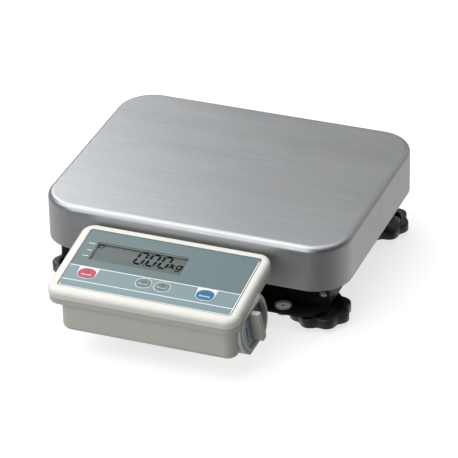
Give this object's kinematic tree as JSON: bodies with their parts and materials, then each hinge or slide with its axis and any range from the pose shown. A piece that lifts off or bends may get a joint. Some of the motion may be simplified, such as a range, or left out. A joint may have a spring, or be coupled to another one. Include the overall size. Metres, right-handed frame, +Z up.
{
  "type": "bench scale",
  "caption": "Bench scale: stainless weighing pan on a black steel base with levelling feet, and a sloped display with keys held in front.",
  "frame": {"origin": "middle of the overall box, on the floor under the feet", "axes": "+X to the right along the long side of the pan, +Y from the indicator to the back of the pan, +Z up"},
  "size_m": [0.38, 0.434, 0.118],
  "materials": {
    "pan_steel": "brushed along the long side",
    "black_rubber": "matt",
    "frame_paint": "semi-matt black powder coat",
    "cell_alloy": "milled",
    "spacer_alloy": "milled",
    "zinc": "bright zinc",
    "bright_screw": "bright nickel",
    "potting": "soft white potting",
    "level_body": "moulded grey",
    "level_liquid": "tinted liquid",
    "clear_glass": "clear",
    "ivory_shell": "fine moulded grain",
    "ivory_cover": "fine moulded grain",
    "face_print": "printed polyester sheet",
    "lcd_grey": "reflective display",
    "board_green": "solder mask",
    "chip_black": "moulded",
    "key_red": "satin",
    "key_grey": "satin",
    "key_blue": "satin",
    "black_plastic": "moulded",
    "cell_jacket": "plain jacket",
    "ivory_cap": "fine moulded grain",
    "cap_blue_grey": "satin",
    "knob_black": "moulded, slightly worn"
  },
  "bodies": {
    "base": {"pan_pads": "black_rubber", "live_frame": "frame_paint", "load_cell": "cell_alloy", "load_cell_upper_spacer": "spacer_alloy", "load_cell_lower_spacer": "spacer_alloy", "load_cell_bolts": "zinc", "gauge_cover": "potting", "overload_stops": "zinc", "overload_nuts": "zinc", "base_frame": "frame_paint", "frame_screws": "bright_screw", "level_housing": "level_body", "level_bubble": "level_liquid", "level_glass": "clear_glass", "foot_weld_nuts": "zinc", "indicator_bracket": "frame_paint", "bracket_screws": "zinc", "lower_shell": "ivory_shell", "cover_gasket": "black_rubber", "upper_cover": "ivory_cover", "face_sheet": "face_print", "display_lens": "clear_glass", "lcd_panel": "lcd_grey", "main_board": "board_green", "board_parts": "chip_black", "board_screws": "zinc", "cover_screws": "zinc", "battery_tray": "black_plastic", "battery_cells": "cell_jacket", "battery_contacts": "zinc", "dc_inlet": "black_plastic"},
    "pan": {"weighing_pan": "pan_steel"},
    "pad_front_right": {"foot_pad_fr": "black_rubber"},
    "knob_front_right": {"foot_knob_fr": "knob_black", "foot_stud_fr": "zinc"},
    "pad_front_left": {"foot_pad_fl": "black_rubber"},
    "knob_front_left": {"foot_knob_fl": "knob_black", "foot_stud_fl": "zinc"},
    "pad_rear_right": {"foot_pad_rr": "black_rubber"},
    "knob_rear_right": {"foot_knob_rr": "knob_black", "foot_stud_rr": "zinc"},
    "pad_rear_left": {"foot_pad_rl": "black_rubber"},
    "knob_rear_left": {"foot_knob_rl": "knob_black", "foot_stud_rl": "zinc"},
    "power_key": {"key_power": "key_red"},
    "mode_key": {"key_mode": "key_grey"},
    "print_key": {"key_print": "key_grey"},
    "zero_key": {"key_zero": "key_blue"},
    "cap": {"battery_cap": "ivory_cap", "cap_seal": "black_rubber", "cap_contact": "zinc", "cap_disc": "cap_blue_grey", "latch_guide": "black_plastic"},
    "cap_latch": {"cap_latch": "ivory_cap"}
  },
  "joints": [
    {"name": "pan_lift", "type": "slide", "parent": "base", "child": "pan", "axis": [0, 0, 1], "range_m": [0, 0.08]},
    {"name": "level_front_right", "type": "slide", "parent": "base", "child": "pad_front_right", "axis": [0, 0, 1], "range_m": [-0.01, 0.0012]},
    {"name": "turn_front_right", "type": "hinge", "parent": "pad_front_right", "child": "knob_front_right", "pos_m": [0.152, -0.041, 0.01], "axis": [0, 0, 1], "range_deg": [-288.1, 2400.1]},
    {"name": "level_front_left", "type": "slide", "parent": "base", "child": "pad_front_left", "axis": [0, 0, 1], "range_m": [-0.01, 0.0012]},
    {"name": "turn_front_left", "type": "hinge", "parent": "pad_front_left", "child": "knob_front_left", "pos_m": [-0.152, -0.041, 0.01], "axis": [0, 0, 1], "range_deg": [-288.1, 2400.1]},
    {"name": "level_rear_right", "type": "slide", "parent": "base", "child": "pad_rear_right", "axis": [0, 0, 1], "range_m": [-0.01, 0.0012]},
    {"name": "turn_rear_right", "type": "hinge", "parent": "pad_rear_right", "child": "knob_rear_right", "pos_m": [0.152, 0.175, 0.01], "axis": [0, 0, 1], "range_deg": [-288.1, 2400.1]},
    {"name": "level_rear_left", "type": "slide", "parent": "base", "child": "pad_rear_left", "axis": [0, 0, 1], "range_m": [-0.01, 0.0012]},
    {"name": "turn_rear_left", "type": "hinge", "parent": "pad_rear_left", "child": "knob_rear_left", "pos_m": [-0.152, 0.175, 0.01], "axis": [0, 0, 1], "range_deg": [-288.1, 2400.1]},
    {"name": "press_power", "type": "slide", "parent": "base", "child": "power_key", "axis": [0, 0.1478, -0.989], "range_m": [0, 0.0005], "stiffness_N_per_m": 2000, "springref_m": -0.0002},
    {"name": "press_mode", "type": "slide", "parent": "base", "child": "mode_key", "axis": [0, 0.1478, -0.989], "range_m": [0, 0.0005], "stiffness_N_per_m": 2000, "springref_m": -0.0002},
    {"name": "press_print", "type": "slide", "parent": "base", "child": "print_key", "axis": [0, 0.1478, -0.989], "range_m": [0, 0.0005], "stiffness_N_per_m": 2000, "springref_m": -0.0002},
    {"name": "press_zero", "type": "slide", "parent": "base", "child": "zero_key", "axis": [0, 0.1478, -0.989], "range_m": [0, 0.0005], "stiffness_N_per_m": 2000, "springref_m": -0.0002},
    {"name": "cap_pull", "type": "slide", "parent": "base", "child": "cap", "axis": [0.993, -0.0797, 0.0868], "range_m": [0, 0.04]},
    {"name": "latch_swing", "type": "hinge", "parent": "cap", "child": "cap_latch", "pos_m": [0.11889, -0.1678, 0.04756], "axis": [-0.993, 0.0797, -0.0868], "range_deg": [0, 8]}
  ],
  "couplings": [
    {"joint": "turn_front_right", "follows": "level_front_right", "rad_per_m": -4188.8},
    {"joint": "turn_front_left", "follows": "level_front_left", "rad_per_m": -4188.8},
    {"joint": "turn_rear_right", "follows": "level_rear_right", "rad_per_m": -4188.8},
    {"joint": "turn_rear_left", "follows": "level_rear_left", "rad_per_m": -4188.8}
  ]
}
